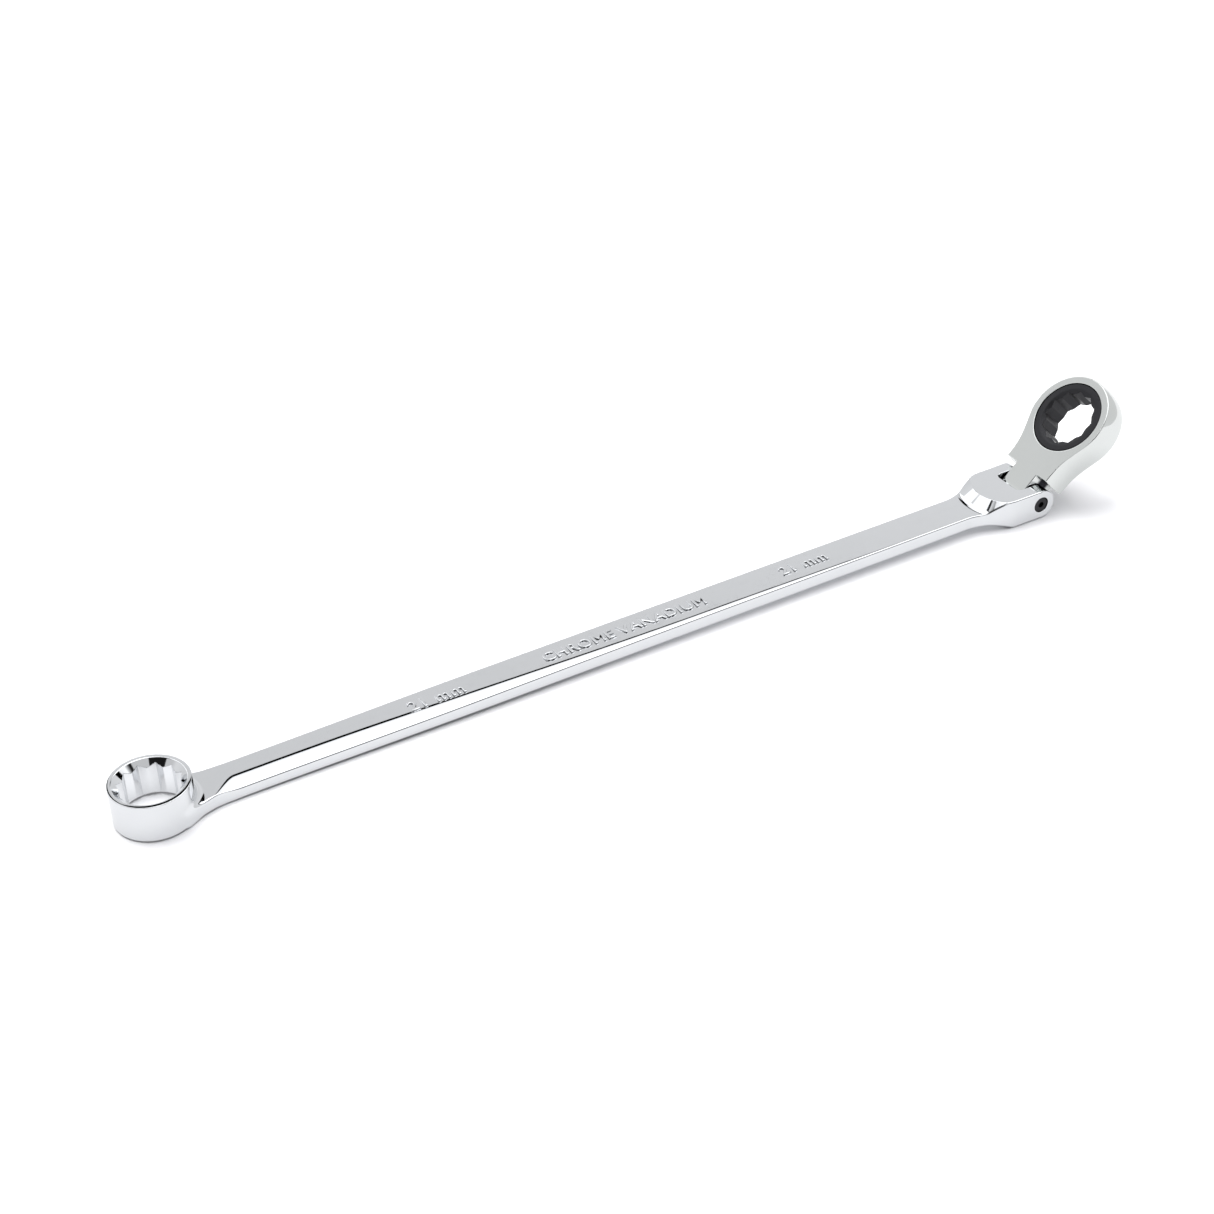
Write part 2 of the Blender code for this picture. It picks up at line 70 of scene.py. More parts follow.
MM = 0.001
JOINTS = {joint["name"]: joint for joint in frame["joints"]}
PIN = Vector(JOINTS["head_flex"]["pos_m"])
GEAR = Vector(JOINTS["gear_spin"]["pos_m"])
FACE = Vector(JOINTS["gear_spin"]["axis"]).normalized()
ALONG = (GEAR - PIN).normalized()
SIDE = FACE.cross(ALONG).normalized()
HEAD_FRAME = Matrix.Translation(PIN) @ Matrix((ALONG, SIDE, FACE)).transposed().to_4x4()
GEAR_FRAME = Matrix.Translation(GEAR) @ Matrix((ALONG, SIDE, FACE)).transposed().to_4x4()

HANDLE_LOW, HANDLE_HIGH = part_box("handle")
HEAD_REACH = (GEAR - PIN).length / MM

# A distance that is well outside, or negative well inside, any steel
OUTSIDE = 5.0

# Fixed ring, in millimetres like every length in the fields below
ACROSS_FLATS = 21.0
POINT_PITCH = 30
HALF_PITCH = 15
RING_R = 15.15
RING_H = HANDLE_HIGH.z / MM
MOUTH_R = 13.5
FOOT_MOUTH_R = 12.7
LAND_CROWN = 0.025
RING_TOP_EDGE = 0.2
RING_FOOT_EDGE = 1.1
RING_FILLET = 3.2
SOCKET_ZONE_R = 16.0
SOCKET_EDGE = 0.12
RING_AXIS = Vector((HANDLE_LOW.x + RING_R * MM, 0, 0))
RING_FRAME = Matrix.Translation(RING_AXIS)
PIN_X = (PIN.x - RING_AXIS.x) / MM
PIN_Z = PIN.z / MM

# Shank. A pair (start, length) says where along the handle something fades in
HALF_W_RING = 8.6
HALF_W_FORK = 8.3
THICK = 5.6
SHANK_START = 9.0
RISE = 0.9
WAIST = 0.75
WAIST_FADES = (35.0, 95.0)
NECK_END = 24.5
NECK_SLOPE = 0.30
NECK_TURN = 5.0
NECK_EDGE = 0.9
THIN_EDGE = 0.3
SHANK_EDGE = 0.65
NECK_EDGE_FADES = (17.0, 7.0)
SHANK_EDGE_GROWS = (24.0, 8.0)

# Soft near shoulder of the marked face
SOFT_LEAST_W = 0.2
SOFT_W = 7.4
SOFT_GROWS = (18.5, 12.0)
SOFT_NARROWINGS = ((5.1, (60.0, 175.0)), (1.9, (225.0, 120.0)))
SOFT_SLOPE = 0.0875
SOFT_TURN_SHARE = 0.36
SOFT_TURN_LEAST = 0.05
SOFT_CURVE = 0.01

# Fork. Its pairs (start, length) are measured from the pin
EAR_R = 6.4
EAR_EDGE = 0.35
FORK_HALF_W = 13.5
FLARE = (-34.0, 21.5)
FOOT_RAMP = (-26.0, 11.8)
FOOT_POWER = 1.7
SLOT_HALF_W = 7.5
SLOT_EDGE = 0.25
SLOT_END = -8.0
CREST_CENTRE = -6.4
CREST_R = 16.4
SCOOP_SLOPE = 0.79
SCOOP_TURN = 2.4
SLOT_CORNER_R = 2.5
SCREW_SEAT_R = 3.45
SCREW_SEAT_DEPTH = 2.6
SCREW_HOLE_R = 2.6
SCREW_HOLE_EDGE = 0.15

# Head
HEAD_R = 19.5
HEAD_HALF_T = 6.3
HEAD_CROWN = 0.6
HEAD_EDGE = 0.3
HEAD_TOUCH = 112
FLANK_PULL = 0.45
FLANK_BOW = 0.2
FLANK_STEPS = 24
NOSE_STEPS = 48
SHOULDER_U = 8.0
SHOULDER_HALF_W = 13.4
TONGUE_END = -12.0
TONGUE_HALF_W = 7.1
TONGUE_R = 6.45
OPENING_R = 15.75
OPENING_FLOOR = 3.7
BORE_R = 17.0
BORE_EDGE = 0.2
GROOVE_R = 18.1
GROOVE = (-5.35, -4.1)
POCKET = (10.6, 19.6)
POCKET_HALF_W = 6.2
POCKET_HALF_T = 3.6
WASHER_RECESS_R = 4.7
WASHER_RECESS_FLOOR = 6.45
HOLLOW_EDGE = 0.1

# Gear
TEETH = 72
TOOTH_MIDDLE_R = 15.9
TOOTH_HALF_H = 0.8
TOOTH_FLATTEN = 0.75
TEETH_SPAN = (-3.6, 3.4)
GEAR_GRID_HALF = 17.2
GEAR_TOP = 6.1
COLLAR_R = 15.45
COLLAR_EDGE = 0.35
GEAR_SOCKET_EDGE = 0.15
GEAR_MOUTH_R = 12.9
GEAR_MOUTH_SLOPE = 0.4

# Camera
CAMERA_AIM = RING_AXIS + Vector((0.1958, 0.0176, 0.006))
CAMERA_DISTANCE = 0.9055
CAMERA_AZIMUTH = 28.27
CAMERA_ELEVATION = 35.05
CAMERA_ROLL = -2.5
CAMERA_LENS = 68.2

# Raised marks: name, words, start along the handle, height of the capitals
MARKS = (
    ("ring_size_mark", "21 mm", 101.0, 5.5),
    ("handle_lettering", "CHROME VANADIUM", 158.0, 5.0),
    ("head_size_mark", "21 mm", 266.0, 5.2),
)
CAP_SHARE = 0.7
LETTER_SPACING = 1.08
MARK_CENTRE_Y = 0.6
MARK_LIFT = 0.02
MARK_EXTRUDE = 0.36
MARK_BEVEL = 0.26
MARK_THINNING = -0.05

# Floor
FLOOR_HALF = 0.55
FLOOR_GAP = 0.0001
FORK_HEEL = 14.2
FORK_HEIGHT = 2.3

# Room: its brightness depends on where a mirrored ray points. Its height is its z, and its slanted height is
# z plus SLANT times x.
SLANT = 0.29
BACKDROP_LOW, BACKDROP_MIDDLE, BACKDROP_HIGH = 0.76, 0.85, 0.735
GAP_BOTTOM = (0.706, 0.710)
GAP_TOP = (0.784, 0.790)
CEILING_NEAR, CEILING_FAR = 1.1, 2.2
PANE = 1.4
FRONT_LOW, FRONT_HIGH, FRONT_DARK = 0.78, 0.66, 0.012
# Black cards in front: (lowest height, highest height), (lowest x, highest x), lowest y
CARDS = (
    ((0.37, 0.73), (0.13, 0.61), -1.0),
    ((0.66, 0.81), (-0.75, -0.28), -0.545),
    ((0.30, 0.66), (-0.62, -0.28), -1.0),
)


# Distance fields


def smooth(t):
    t = np.clip(t, 0.0, 1.0)
    return t * t * (3 - 2 * t)


def fade(x, where):
    """0 before where's start, 1 past its length, and a smooth rise between them."""
    start, length = where
    return smooth((x - start) / length)


def meet(a, b, radius):
    """The part inside both fields, with its edge rounded."""
    outside = np.hypot(np.maximum(a + radius, 0), np.maximum(b + radius, 0))
    return np.minimum(np.maximum(a, b), -radius) + outside


def join(a, b, radius):
    """The part inside either field, with a fillet where they meet."""
    return -meet(-a, -b, radius)


def cut(a, b, radius):
    """a with b taken out of it, and a rounded rim."""
    return meet(a, -b, radius)


def slab(v, low, high):
    return np.abs(v - (low + high) / 2) - (high - low) / 2


def twelve_point(x, y, phase):
    """The socket's outline: two hexagons, 30 degrees apart, with a corner at phase degrees."""
    radius = np.hypot(x, y)
    turn = np.degrees(np.arctan2(y, x)) - phase
    off_flat = HALF_PITCH + np.abs(np.mod(turn, POINT_PITCH) - HALF_PITCH)
    return radius * np.cos(np.radians(off_flat)) - ACROSS_FLATS / 2


def polygon(x, y, points):
    """Distance from a closed outline of straight stretches, negative inside."""
    shape = np.broadcast_shapes(x.shape, y.shape)
    best = np.full(shape, np.inf)
    inside = np.zeros(shape, bool)
    for (ax, ay), (bx, by) in zip(points, points[1:] + points[:1]):
        ex, ey = bx - ax, by - ay
        share = np.clip(((x - ax) * ex + (y - ay) * ey) / (ex * ex + ey * ey), 0, 1)
        best = np.minimum(best, np.hypot(x - ax - share * ex, y - ay - share * ey))
        crosses = (ay > y) != (by > y)
        inside ^= crosses & (x < ax + (y - ay) * ex / (ey or 1e-9))
    return np.where(inside, -best, best)


def eased(distance, turn):
    """A straight rise of one in one that starts softly, over the first turn millimetres."""
    distance = np.maximum(distance, 0)
    return np.where(distance < turn, distance**2 / (2 * turn), distance - turn / 2)


def shank_half_width(x):
    """The shank is waisted beside the ring, runs tangentially into it, and flares into the fork."""
    waist = WAIST * (1 - fade(x, WAIST_FADES))
    straight = HALF_W_RING + (HALF_W_FORK - HALF_W_RING) * x / PIN_X - waist
    neck = NECK_SLOPE * eased(NECK_END - x, NECK_TURN)
    return straight + neck + (FORK_HALF_W - straight) * fade(x - PIN_X, FLARE)


def shoulder_width(x):
    """How far the soft near shoulder of the marked face reaches in from its edge."""
    width = SOFT_W - sum(amount * fade(x, where) for amount, where in SOFT_NARROWINGS)
    return SOFT_LEAST_W + width * fade(x, SOFT_GROWS)


def shoulder_drop(x, y):
    """How far the marked face falls away on its near side."""
    reach = shoulder_width(x)
    into = np.maximum(0, -y - (shank_half_width(x) - reach))
    turn = SOFT_TURN_SHARE * reach + SOFT_TURN_LEAST
    return SOFT_SLOPE * eased(into, turn) + SOFT_CURVE * into**2


def fork_scoop(x, y, rise):
    """Height gained from the shank's face to the fork's, up a hollow that ends in a round crest."""
    from_crest = np.hypot(x - PIN_X - CREST_CENTRE, y) - CREST_R
    reach = rise / SCOOP_SLOPE + SCOOP_TURN / 2
    return np.minimum(SCOOP_SLOPE * eased(reach - from_crest, SCOOP_TURN), rise)


def shank(x, y, z):
    """The shank and the fork's outside, without the slot."""
    rise = RISE * np.clip(x / PIN_X, 0, 1)
    top = THICK + rise
    top = top + fork_scoop(x, y, PIN_Z + EAR_R - top) - shoulder_drop(x, y)
    ramp = np.clip((x - PIN_X - FOOT_RAMP[0]) / FOOT_RAMP[1], 0, 1) ** FOOT_POWER
    foot = rise + (PIN_Z - EAR_R - rise) * ramp
    edge = NECK_EDGE + (THIN_EDGE - NECK_EDGE) * fade(x, NECK_EDGE_FADES)
    edge = edge + (SHANK_EDGE - THIN_EDGE) * fade(x, SHANK_EDGE_GROWS)
    up_down = np.maximum(z - top, foot - z)
    sides = np.abs(y) - shank_half_width(x)
    body = meet(up_down, sides, edge)
    body = np.maximum(body, SHANK_START - x)
    ears = np.hypot(x - PIN_X, z - PIN_Z) - EAR_R
    past_pin = meet(ears, sides, EAR_EDGE)
    return np.where(x > PIN_X, past_pin, body)


def handle_field(x, y, z):
    """The handle: ring and shank, less the socket, the fork's slot and the screw's hole."""
    radius = np.hypot(x, y)
    crown = LAND_CROWN * np.maximum(radius - MOUTH_R, 0) ** 2
    ring = meet(meet(radius - RING_R, -z, RING_FOOT_EDGE), z - RING_H + crown, RING_TOP_EDGE)
    steel = join(shank(x, y, z), ring, RING_FILLET)
    top_mouth = (radius - MOUTH_R - (z - RING_H)) / math.sqrt(2)
    foot_mouth = (radius - FOOT_MOUTH_R + z) / math.sqrt(2)
    socket = np.minimum(np.minimum(twelve_point(x, y, 0), top_mouth), foot_mouth)
    steel = cut(steel, np.where(radius < SOCKET_ZONE_R, socket, OUTSIDE), SOCKET_EDGE)
    slot = meet(PIN_X + SLOT_END - x, np.abs(y) - SLOT_HALF_W, SLOT_CORNER_R)
    steel = cut(steel, slot, SLOT_EDGE)
    from_pin = np.hypot(x - PIN_X, z - PIN_Z)
    seat = np.maximum(from_pin - SCREW_SEAT_R, y + FORK_HALF_W - SCREW_SEAT_DEPTH)
    return cut(steel, np.minimum(seat, from_pin - SCREW_HOLE_R), SCREW_HOLE_EDGE)


def head_outline():
    """Half the head's outline from the tongue to the nose, then its mirror image."""
    touch = math.radians(HEAD_TOUCH)
    end = (HEAD_REACH + HEAD_R * math.cos(touch), HEAD_R * math.sin(touch))
    slope = -math.cos(touch) / math.sin(touch)
    start = (SHOULDER_U, SHOULDER_HALF_W)
    reach = (end[0] - start[0]) * FLANK_PULL
    knots = (start, (start[0] + reach, start[1] - FLANK_BOW), (end[0] - reach, end[1] - slope * reach), end)
    upper = [(TONGUE_END, TONGUE_HALF_W), (SHOULDER_U, TONGUE_HALF_W)]
    for i in range(FLANK_STEPS):
        t = i / FLANK_STEPS
        weights = ((1 - t) ** 3, 3 * t * (1 - t) ** 2, 3 * t * t * (1 - t), t**3)
        upper.append(tuple(sum(w * k[axis] for w, k in zip(weights, knots)) for axis in (0, 1)))
    for i in range(NOSE_STEPS):
        a = touch * (1 - i / NOSE_STEPS)
        upper.append((HEAD_REACH + HEAD_R * math.cos(a), HEAD_R * math.sin(a)))
    nose = [(HEAD_REACH + HEAD_R, 0.0)]
    return upper + nose + [(u, -v) for u, v in reversed(upper)]


def head_field(u, v, n):
    """The head, less its bore, groove, pawl pocket, washer recesses and screw hole. u runs from the pin."""
    crown = HEAD_CROWN * (n / HEAD_HALF_T) ** 2
    body = meet(polygon(u, v, head_outline()) + crown, np.abs(n) - HEAD_HALF_T, HEAD_EDGE)
    tongue = np.where(u < 0, np.hypot(u, n) - TONGUE_R, -2 * OUTSIDE)
    body = meet(body, tongue, HEAD_EDGE)
    radius = np.hypot(u - HEAD_REACH, v)
    opening = np.where(n > OPENING_FLOOR, radius - OPENING_R, radius - BORE_R)
    groove = np.maximum(radius - GROOVE_R, slab(n, *GROOVE))
    body = cut(body, np.minimum(opening, groove), BORE_EDGE)
    pocket = np.maximum(slab(u, *POCKET), np.abs(v) - POCKET_HALF_W)
    pocket = np.maximum(pocket, np.abs(n) - POCKET_HALF_T)
    from_pin = np.hypot(u, n)
    recess = np.maximum(from_pin - WASHER_RECESS_R, WASHER_RECESS_FLOOR - np.abs(v))
    hollow = np.minimum(np.minimum(pocket, recess), from_pin - SCREW_HOLE_R)
    return cut(body, hollow, HOLLOW_EDGE)


def gear_field(u, v, n):
    """The gear: a collar with a toothed band, and a 12-point socket with a shallow cone at each end."""
    radius = np.hypot(u, v)
    collar = meet(radius - COLLAR_R, np.abs(n) - GEAR_TOP, COLLAR_EDGE)
    turn = np.mod(np.degrees(np.arctan2(v, u)) * TEETH / 360, 1)
    tooth = radius - (TOOTH_MIDDLE_R + TOOTH_HALF_H * (1 - 2 * np.minimum(turn, 1 - turn)))
    teeth = np.maximum(tooth * TOOTH_FLATTEN, slab(n, *TEETH_SPAN))
    cone = (radius - GEAR_MOUTH_R) * GEAR_MOUTH_SLOPE - (np.abs(n) - GEAR_TOP)
    mouth = cone / math.hypot(1, GEAR_MOUTH_SLOPE)
    hole = np.minimum(twelve_point(u, v, HALF_PITCH), mouth)
    return cut(np.minimum(collar, teeth), hole, GEAR_SOCKET_EDGE)


# Meshes from fields


SLICE_PLANES = 40


def stretch(*spans):
    """Grid planes for one axis: each span is (start, end, step), and the spans follow one another."""
    planes = [np.arange(start, end, step) for start, end, step in spans]
    return np.concatenate(planes + [[spans[-1][1]]])


def sample(field, xs, ys, zs):
    """The field on the whole grid, worked out in slices to keep memory small."""
    slices = []
    for first in range(0, len(xs), SLICE_PLANES):
        part = xs[first : first + SLICE_PLANES]
        slices.append(field(part[:, None, None], ys[None, :, None], zs[None, None, :]).astype(np.float32))
    return np.concatenate(slices)


def crossings(values, axes):
    """One point for each grid cell that the surface passes through, in the middle of where it crosses the
    cell's edges."""
    inside = values < 0
    corners = [(i, j, k) for i in (0, 1) for j in (0, 1) for k in (0, 1)]
    shape = tuple(n - 1 for n in values.shape)
    count = np.zeros(shape, np.int8)
    for i, j, k in corners:
        count += inside[i : i + shape[0], j : j + shape[1], k : k + shape[2]]
    cells = np.argwhere((count > 0) & (count < 8))
    total = np.zeros((len(cells), 3))
    hits = np.zeros(len(cells))
    for a in corners:
        for axis in range(3):
            if a[axis]:
                continue
            start, end = cells + a, cells + a
            end[:, axis] += 1
            va, vb = values[tuple(start.T)], values[tuple(end.T)]
            crossed = (va < 0) != (vb < 0)
            share = np.where(crossed, va / np.where(crossed, va - vb, 1), 0)
            for n in range(3):
                pa, pb = axes[n][start[:, n]], axes[n][end[:, n]]
                total[:, n] += np.where(crossed, pa + share * (pb - pa), 0)
            hits += crossed
    index = np.full(shape, -1, np.int64)
    index[tuple(cells.T)] = np.arange(len(cells))
    return total / hits[:, None], index, inside


def net_faces(index, inside):
    """A four-sided face round each grid edge that the surface crosses."""
    faces = []
    for axis in range(3):
        one = np.zeros(3, int)
        one[axis] = 1
        p, q = [np.eye(3, dtype=int)[(axis + n) % 3] for n in (1, 2)]
        lower = inside[tuple(slice(0, n - o) for n, o in zip(inside.shape, one))]
        upper = inside[tuple(slice(o, n) for n, o in zip(inside.shape, one))]
        for outward, wanted in ((True, lower & ~upper), (False, upper & ~lower)):
            edges = np.argwhere(wanted)
            loops = [edges - p - q, edges - q, edges, edges - p]
            quad = np.stack([index[tuple(loop.T)] for loop in loops], axis=1)
            faces.append(quad if outward else quad[:, ::-1])
    return np.concatenate(faces)


def gradient(field, points, step=0.02):
    slopes = []
    for axis in range(3):
        ahead, behind = points.copy(), points.copy()
        ahead[:, axis] += step
        behind[:, axis] -= step
        slopes.append((field(*ahead.T) - field(*behind.T)) / (2 * step))
    return np.stack(slopes, axis=1)


def settle(field, points, rounds=2, most=0.12):
    """Moves each point along the field's slope onto the surface, and gives the surface's direction there."""
    for _ in range(rounds):
        slope = gradient(field, points)
        size = np.maximum((slope**2).sum(axis=1), 0.2)
        move = -(field(*points.T) / size)[:, None] * slope
        length = np.maximum(np.linalg.norm(move, axis=1), 1e-9)
        points = points + move * np.minimum(1, most / length)[:, None]
    slope = gradient(field, points)
    return points, slope / np.maximum(np.linalg.norm(slope, axis=1), 1e-9)[:, None]


def forged(name, field, axes, place, body, node):
    """A smooth closed piece from a field, standing for a CAD node."""
    points, index, inside = crossings(sample(field, *axes), axes)
    points, normals = settle(field, points)
    mesh = bpy.data.meshes.new(name)
    faces = net_faces(index, inside)
    mesh.from_pydata((points * MM).tolist(), [], faces.tolist())
    mesh.shade_smooth()
    mesh.normals_split_custom_set_from_vertices(normals.tolist())
    mesh.transform(place)
    piece = bpy.data.objects.new(name, mesh)
    bpy.context.scene.collection.objects.link(piece)
    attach(piece, body)
    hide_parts(node)
    return piece


FINE = 0.25
FINER = FINE / 2
COARSE = 3.0
ROOM = 0.5

# Where the handle's grid changes its step
PLAIN_FROM, PLAIN_TO = 62.0, PIN_X - 40.0
EDGE_FROM, EDGE_TO = 7.2, 9.6
TOP_FROM, TOP_TO = 4.0, 7.0


def make_handle():
    half = RING_R + ROOM
    axes = (
        stretch(
            (-half, PLAIN_FROM, FINE),
            (PLAIN_FROM, PLAIN_TO, COARSE),
            (PLAIN_TO, PIN_X + EAR_R + ROOM, FINE),
        ),
        stretch(
            (-half, -EDGE_TO, FINE),
            (-EDGE_TO, -EDGE_FROM, FINER),
            (-EDGE_FROM, EDGE_FROM, FINE),
            (EDGE_FROM, EDGE_TO, FINER),
            (EDGE_TO, half, FINE),
        ),
        stretch(
            (PIN_Z - EAR_R - ROOM, TOP_FROM, FINE),
            (TOP_FROM, TOP_TO, FINER),
            (TOP_TO, RING_H + ROOM, FINE),
        ),
    )
    return forged("handle_forging", handle_field, axes, RING_FRAME, "handle", "handle")


def make_head():
    axes = (
        stretch((-TONGUE_R - ROOM, HEAD_REACH + HEAD_R + ROOM, FINE)),
        stretch((-HEAD_R - ROOM, HEAD_R + ROOM, FINE)),
        stretch((-HEAD_HALF_T - ROOM, HEAD_HALF_T + ROOM, FINE)),
    )
    return forged("head_forging", head_field, axes, HEAD_FRAME, "head", "head")


def make_gear():
    axes = (
        stretch((-GEAR_GRID_HALF, GEAR_GRID_HALF, FINE)),
        stretch((-GEAR_GRID_HALF, GEAR_GRID_HALF, FINE)),
        stretch((-GEAR_TOP - ROOM, GEAR_TOP + ROOM, FINE)),
    )
    return forged("gear_insert", gear_field, axes, GEAR_FRAME, "gear", "ratchet_gear")


# Marks


def raised_mark(name, words, start_x, height):
    """Plain raised lettering on the marked face, from start_x along the handle."""
    text = bpy.data.curves.new(name, "FONT")
    text.body = words
    text.size = height / CAP_SHARE * MM
    text.align_y = "CENTER"
    text.extrude = MARK_EXTRUDE * MM
    text.offset = MARK_THINNING * MM
    text.bevel_depth = MARK_BEVEL * MM
    text.bevel_resolution = 2
    text.space_character = LETTER_SPACING
    draft = bpy.data.objects.new(name + "_draft", text)
    bpy.context.scene.collection.objects.link(draft)
    bpy.context.view_layer.update()
    mesh = bpy.data.meshes.new_from_object(draft.evaluated_get(bpy.context.evaluated_depsgraph_get()))
    bpy.data.objects.remove(draft)
    mesh.name = name
    piece = bpy.data.objects.new(name, mesh)
    bpy.context.scene.collection.objects.link(piece)
    face_z = THICK + RISE * start_x / PIN_X + MARK_LIFT
    piece.matrix_world = RING_FRAME @ Matrix.Translation(Vector((start_x, MARK_CENTRE_Y, face_z)) * MM)
    piece.rotation_euler.y = -math.atan(RISE / PIN_X)
    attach(piece, "handle")
    return piece


# Materials

# Painted shade: how far the occlusion test looks, and the near-black base colour it gives in corners and at
# the floor
PAINTED_SHADE_REACH = 2.5
PAINTED_SHADE_COLOUR = (0.02, 0.02, 0.025, 1)


class Nodes:
    """Short calls for making shader nodes in one tree."""

    def __init__(self, tree):
        self.tree = tree
        self.links = tree.links

    def add(self, kind, **settings):
        node = self.tree.nodes.new(kind)
        for key, value in settings.items():
            setattr(node, key, value)
        return node

    def math(self, operation, a, b=0.0, c=0.0):
        node = self.add("ShaderNodeMath", operation=operation)
        for slot, value in zip(node.inputs, (a, b, c)):
            self.feed(slot, value)
        return node.outputs[0]

    def feed(self, slot, value):
        if isinstance(value, bpy.types.NodeSocket):
            self.links.new(value, slot)
        else:
            slot.default_value = value

    def step(self, value, low, high):
        """0 below low, 1 above high, and a smooth rise between them."""
        node = self.add("ShaderNodeMapRange", interpolation_type="SMOOTHSTEP")
        self.feed(node.inputs["Value"], value)
        self.feed(node.inputs["From Min"], low)
        self.feed(node.inputs["From Max"], high)
        return node.outputs["Result"]

    def product(self, *values):
        result = values[0]
        for value in values[1:]:
            result = self.math("MULTIPLY", result, value)
        return result

    def span(self, value, ends, soft):
        """1 between the ends, fading to 0 over soft outside them."""
        low, high = ends
        return self.product(self.step(value, low - soft, low), self.step(value, high + soft, high))

    def dot(self, vector, direction, offset=0.0):
        """How far a point lies along a direction."""
        node = self.add("ShaderNodeVectorMath", operation="DOT_PRODUCT")
        self.links.new(vector, node.inputs[0])
        node.inputs[1].default_value = direction
        return self.math("ADD", node.outputs["Value"], offset)

    def noise(self, scale, detail=3.0, vector=None, rough=0.5):
        node = self.add("ShaderNodeTexNoise")
        node.inputs["Scale"].default_value = scale
        node.inputs["Detail"].default_value = detail
        node.inputs["Roughness"].default_value = rough
        if vector is not None:
            self.links.new(vector, node.inputs["Vector"])
        return node.outputs["Fac"]

    def blend(self, share, a, b):
        """Mixes two colours or two numbers."""
        colours = isinstance(a, tuple) or isinstance(b, tuple)
        node = self.add("ShaderNodeMix", data_type="RGBA" if colours else "FLOAT")
        first = {True: 6, False: 2}[colours]
        self.feed(node.inputs[0], share)
        self.feed(node.inputs[first], a)
        self.feed(node.inputs[first + 1], b)
        return node.outputs[2 if colours else 0]


def metal(name, colour, other, rough, metallic=1.0, wave=(220.0, 4e-6), grain=(9000.0, 1e-7), recess=False):
    """A metal whose tint and gloss drift a little, with a gentle waviness and a fine grain in its surface.
    Painted shade: an occlusion mask turns the base colour near-black in narrow corners and where the steel
    meets the floor. With recess, the walls beside the tongue get the same painted shade. wave and grain are
    each (noise scale, height in metres)."""
    mat = bpy.data.materials.new(name)
    mat.use_nodes = True
    shader = mat.node_tree.nodes["Principled BSDF"]
    nodes = Nodes(mat.node_tree)
    place = nodes.add("ShaderNodeTexCoord").outputs["Object"]
    drift = nodes.noise(60.0, 2.0, place)
    # Painted shade: an occlusion mask darkens the base colour in corners, in gaps and where the steel meets
    # the floor
    shade_occlusion = nodes.add("ShaderNodeAmbientOcclusion", samples=8)
    shade_occlusion.inputs["Distance"].default_value = PAINTED_SHADE_REACH * MM
    unshaded_share = nodes.step(shade_occlusion.outputs["AO"], 0.05, 0.7)
    if recess:
        # Painted shade: the walls beside the tongue go near-black
        unshaded_share = nodes.product(unshaded_share, outside_gap(nodes, place))
    tint = nodes.blend(drift, (*colour, 1), (*other, 1))
    nodes.feed(shader.inputs["Base Color"], nodes.blend(unshaded_share, PAINTED_SHADE_COLOUR, tint))
    shader.inputs["Metallic"].default_value = metallic
    patches = nodes.step(nodes.noise(400.0, 4.0, place, 0.65), 0.45, 0.75)
    gloss = nodes.math("MULTIPLY_ADD", patches, rough[1] - rough[0], rough[0])
    nodes.feed(shader.inputs["Roughness"], gloss)
    waves = nodes.add("ShaderNodeBump")
    waves.inputs["Distance"].default_value = wave[1]
    nodes.feed(waves.inputs["Height"], nodes.noise(wave[0], 1.0, place))
    grains = nodes.add("ShaderNodeBump")
    grains.inputs["Distance"].default_value = grain[1]
    nodes.feed(grains.inputs["Height"], nodes.noise(grain[0], 2.0, place))
    nodes.links.new(waves.outputs["Normal"], grains.inputs["Normal"])
    nodes.links.new(grains.outputs["Normal"], shader.inputs["Normal"])
    return mat


def outside_gap(nodes, place):
    """0 on the tongue's side walls and the end walls beside them, 1 on the rest of the head. Where it is 0
    the head chrome gets painted shade.
    """
    along = nodes.dot(place, ALONG, -PIN.dot(ALONG))
    across = nodes.math("ABSOLUTE", nodes.dot(place, SIDE))
    ahead = nodes.step(along, (SHOULDER_U - 0.05) * MM, (SHOULDER_U + 0.15) * MM)
    middle = nodes.step(across, (TONGUE_HALF_W - 0.05) * MM, (TONGUE_HALF_W - 0.2) * MM)
    return nodes.math("MAXIMUM", ahead, middle)


def paint(obj, mat):
    obj.data.materials.clear()
    obj.data.materials.append(mat)


# Room


def camera_direction():
    """Which way the camera looks, and the level part of that direction."""
    azimuth, elevation = math.radians(CAMERA_AZIMUTH), math.radians(CAMERA_ELEVATION)
    level = Vector((math.sin(azimuth), math.cos(azimuth), 0))
    return level * math.cos(elevation) - Vector((0, 0, math.sin(elevation))), level


def add_camera():
    camera = bpy.data.objects.new("camera", bpy.data.cameras.new("camera"))
    bpy.context.scene.collection.objects.link(camera)
    camera.data.lens = CAMERA_LENS
    camera.data.clip_start = 0.01
    turn = Matrix.Rotation(-math.radians(CAMERA_AZIMUTH), 4, "Z")
    tilt = Matrix.Rotation(math.radians(90 - CAMERA_ELEVATION), 4, "X")
    roll = Matrix.Rotation(math.radians(CAMERA_ROLL), 4, "Z")
    where = CAMERA_AIM - camera_direction()[0] * CAMERA_DISTANCE
    camera.matrix_world = Matrix.Translation(where) @ turn @ tilt @ roll
    bpy.context.scene.camera = camera


